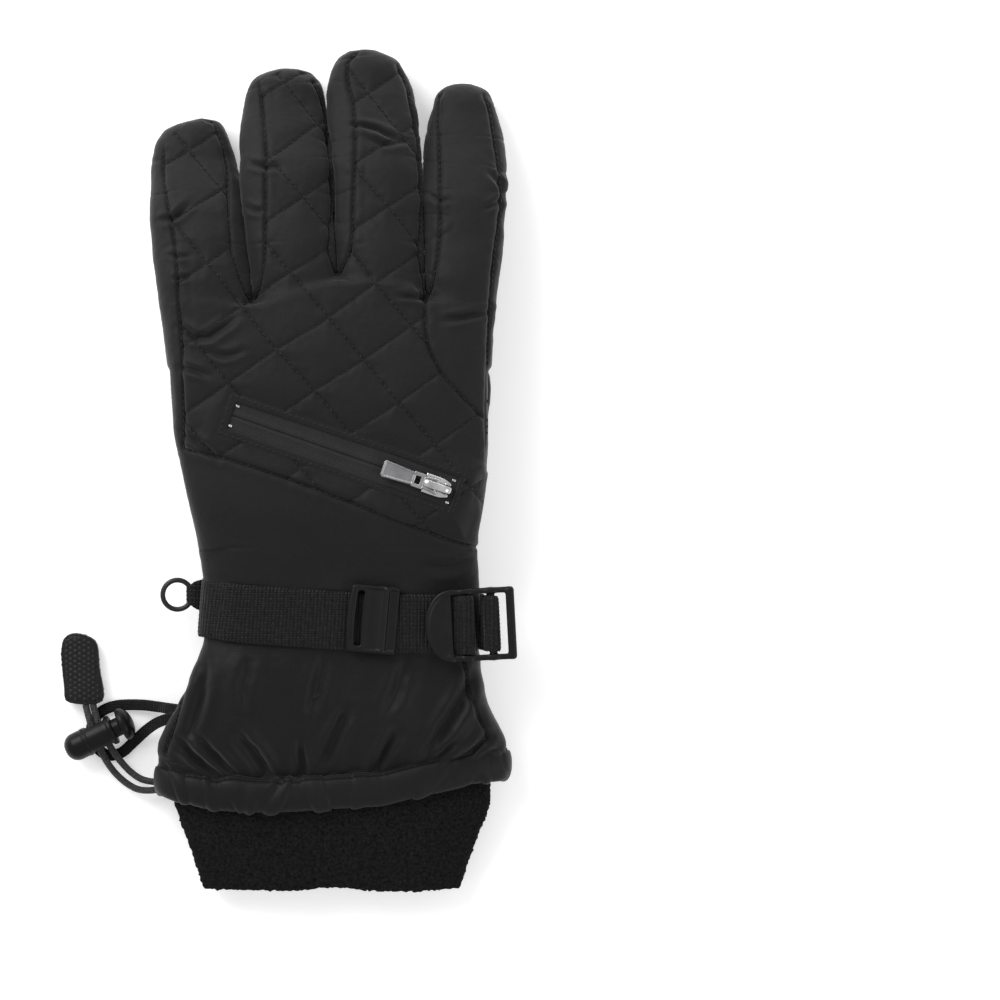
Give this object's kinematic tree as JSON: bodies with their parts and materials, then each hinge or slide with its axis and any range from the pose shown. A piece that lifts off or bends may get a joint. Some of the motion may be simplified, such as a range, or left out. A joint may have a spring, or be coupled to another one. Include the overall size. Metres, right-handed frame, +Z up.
{
  "type": "ski glove",
  "caption": "Insulated left-hand ski glove with a quilted back, zip pocket, wrist strap with ladder lock, drawcord hem and fleece inner cuff, thumb folded under the palm.",
  "frame": {"origin": "middle of the glove's footprint on the table that it lies on, back up", "axes": "+Y from the cuff to the fingertips, +X to the thumb side, +Z up, out of the back of the hand"},
  "size_m": [0.1721, 0.3171, 0.0469],
  "materials": {
    "quilted_shell": "matte, fine weave, quilted",
    "smooth_shell": "matte, brushed softshell",
    "palm_leather": "matte synthetic leather",
    "grip_print": "matte, embossed grip print",
    "insulation": "soft batting",
    "lining": "brushed fleece",
    "fleece": "deep curly fleece",
    "webbing": "ribbed woven webbing",
    "elastic": "matte",
    "buckle_plastic": "satin moulded",
    "lock_plastic": "satin moulded",
    "cord_fibre": "round braid",
    "zip_tape": "ribbed tape",
    "zip_coil": "satin nylon coil",
    "zip_metal": "satin gunmetal",
    "stop_metal": "satin",
    "spring_steel": "bright wire",
    "ring_metal": "satin black"
  },
  "bodies": {
    "root": {"back_insulation": "insulation", "back_quilted_panel": "quilted_shell", "back_wrist_panel": "quilted_shell", "buckle_anchor_webbing": "webbing", "cord_lock_anchor_tape": "webbing", "cord_lock_barrel": "lock_plastic", "cord_lock_spring": "spring_steel", "drawcord_pull_tab": "lock_plastic", "drawcord_strand_back": "cord_fibre", "drawcord_strand_front": "cord_fibre", "fleece_cuff": "fleece", "gauntlet_back_panel": "quilted_shell", "gauntlet_hem": "quilted_shell", "gauntlet_lining": "lining", "gauntlet_palm_panel": "smooth_shell", "hand_lining": "lining", "hem_drawcord": "elastic", "palm_grip_patch": "grip_print", "palm_insulation": "insulation", "palm_panel": "palm_leather", "pinky_side_panel": "quilted_shell", "pocket_bag": "lining", "ring_tab": "webbing", "strap_end_clip": "buckle_plastic", "strap_free_end": "webbing", "thumb_side_panel": "smooth_shell", "wrist_elastic": "elastic", "wrist_strap": "webbing", "zip_stops": "stop_metal", "zip_welt": "smooth_shell", "zipper_coil": "zip_coil", "zipper_tape": "zip_tape"},
    "pinky_finger": {"pinky_finger_base_shell": "quilted_shell", "pinky_finger_base_liner": "insulation"},
    "pinky_fingertip": {"pinky_fingertip_shell": "quilted_shell", "pinky_fingertip_liner": "insulation"},
    "ring_finger": {"ring_finger_base_shell": "quilted_shell", "ring_finger_base_liner": "insulation"},
    "ring_fingertip": {"ring_fingertip_shell": "quilted_shell", "ring_fingertip_liner": "insulation"},
    "middle_finger": {"middle_finger_base_shell": "quilted_shell", "middle_finger_base_liner": "insulation"},
    "middle_fingertip": {"middle_fingertip_shell": "quilted_shell", "middle_fingertip_liner": "insulation"},
    "index_finger": {"index_finger_base_shell": "smooth_shell", "index_finger_base_liner": "insulation"},
    "index_fingertip": {"index_fingertip_shell": "smooth_shell", "index_fingertip_liner": "insulation"},
    "thumb": {"thumb_shell": "palm_leather", "thumb_liner": "lining"},
    "zip_slider": {"zip_slider": "zip_metal"},
    "zip_pull": {"zip_pull": "zip_metal", "zip_pull_tab": "zip_metal"},
    "ladder_lock": {"ladder_lock": "buckle_plastic", "strap_loop": "webbing"},
    "clip_ring": {"clip_ring": "ring_metal"},
    "lock_button": {"cord_lock_button": "lock_plastic"}
  },
  "joints": [
    {"name": "pinky_curl", "type": "hinge", "parent": "root", "child": "pinky_finger", "pos_m": [-0.0476, 0.0715, 0.0279], "axis": [-0.9956, -0.0934, 0], "range_deg": [0, 45], "stiffness_Nm_per_rad": 0.06},
    {"name": "pinky_tip_curl", "type": "hinge", "parent": "pinky_finger", "child": "pinky_fingertip", "pos_m": [-0.04995, 0.09657, 0.0226], "axis": [-0.9956, -0.0934, 0], "range_deg": [0, 45], "stiffness_Nm_per_rad": 0.04},
    {"name": "ring_curl", "type": "hinge", "parent": "root", "child": "ring_finger", "pos_m": [-0.0156, 0.0805, 0.0279], "axis": [-0.9996, -0.028, 0], "range_deg": [0, 45], "stiffness_Nm_per_rad": 0.06},
    {"name": "ring_tip_curl", "type": "hinge", "parent": "ring_finger", "child": "ring_fingertip", "pos_m": [-0.01644, 0.11045, 0.0226], "axis": [-0.9996, -0.028, 0], "range_deg": [0, 45], "stiffness_Nm_per_rad": 0.04},
    {"name": "middle_curl", "type": "hinge", "parent": "root", "child": "middle_finger", "pos_m": [0.0179, 0.0805, 0.0279], "axis": [-0.9983, -0.058, 0], "range_deg": [0, 45], "stiffness_Nm_per_rad": 0.06},
    {"name": "middle_tip_curl", "type": "hinge", "parent": "middle_finger", "child": "middle_fingertip", "pos_m": [0.01597, 0.11378, 0.0226], "axis": [-0.9983, -0.058, 0], "range_deg": [0, 45], "stiffness_Nm_per_rad": 0.04},
    {"name": "index_curl", "type": "hinge", "parent": "root", "child": "index_finger", "pos_m": [0.0486, 0.0725, 0.0279], "axis": [-0.9999, 0.0137, 0], "range_deg": [0, 45], "stiffness_Nm_per_rad": 0.06},
    {"name": "index_tip_curl", "type": "hinge", "parent": "index_finger", "child": "index_fingertip", "pos_m": [0.04902, 0.1032, 0.0226], "axis": [-0.9999, 0.0137, 0], "range_deg": [0, 45], "stiffness_Nm_per_rad": 0.04},
    {"name": "thumb_open", "type": "hinge", "parent": "root", "child": "thumb", "pos_m": [0.0556, 0, 0.0166], "axis": [0, -1, 0], "range_deg": [0, 80], "stiffness_Nm_per_rad": 0.05},
    {"name": "zip_slide", "type": "slide", "parent": "root", "child": "zip_slider", "axis": [-0.9446, 0.3282, 0], "range_m": [0, 0.071]},
    {"name": "zip_pull_flip", "type": "hinge", "parent": "zip_slider", "child": "zip_pull", "pos_m": [0.0394, -0.00624, 0.04505], "axis": [0.3282, 0.9446, 0], "range_deg": [0, 150]},
    {"name": "buckle_tilt", "type": "hinge", "parent": "root", "child": "ladder_lock", "pos_m": [0.06025, -0.05994, 0.0365], "axis": [0.072, 0.9974, 0], "range_deg": [0, 35]},
    {"name": "ring_swing", "type": "hinge", "parent": "root", "child": "clip_ring", "pos_m": [-0.0531, -0.0469, 0.0164], "axis": [0, 1, 0], "range_deg": [-60, 60]},
    {"name": "cord_lock_press", "type": "slide", "parent": "root", "child": "lock_button", "axis": [-0.9013, -0.4332, 0], "range_m": [0, 0.0025], "stiffness_N_per_m": 900}
  ],
  "couplings": [
    {"joint": "pinky_tip_curl", "follows": "pinky_curl", "ratio": 1},
    {"joint": "ring_tip_curl", "follows": "ring_curl", "ratio": 1},
    {"joint": "middle_tip_curl", "follows": "middle_curl", "ratio": 1},
    {"joint": "index_tip_curl", "follows": "index_curl", "ratio": 1}
  ]
}
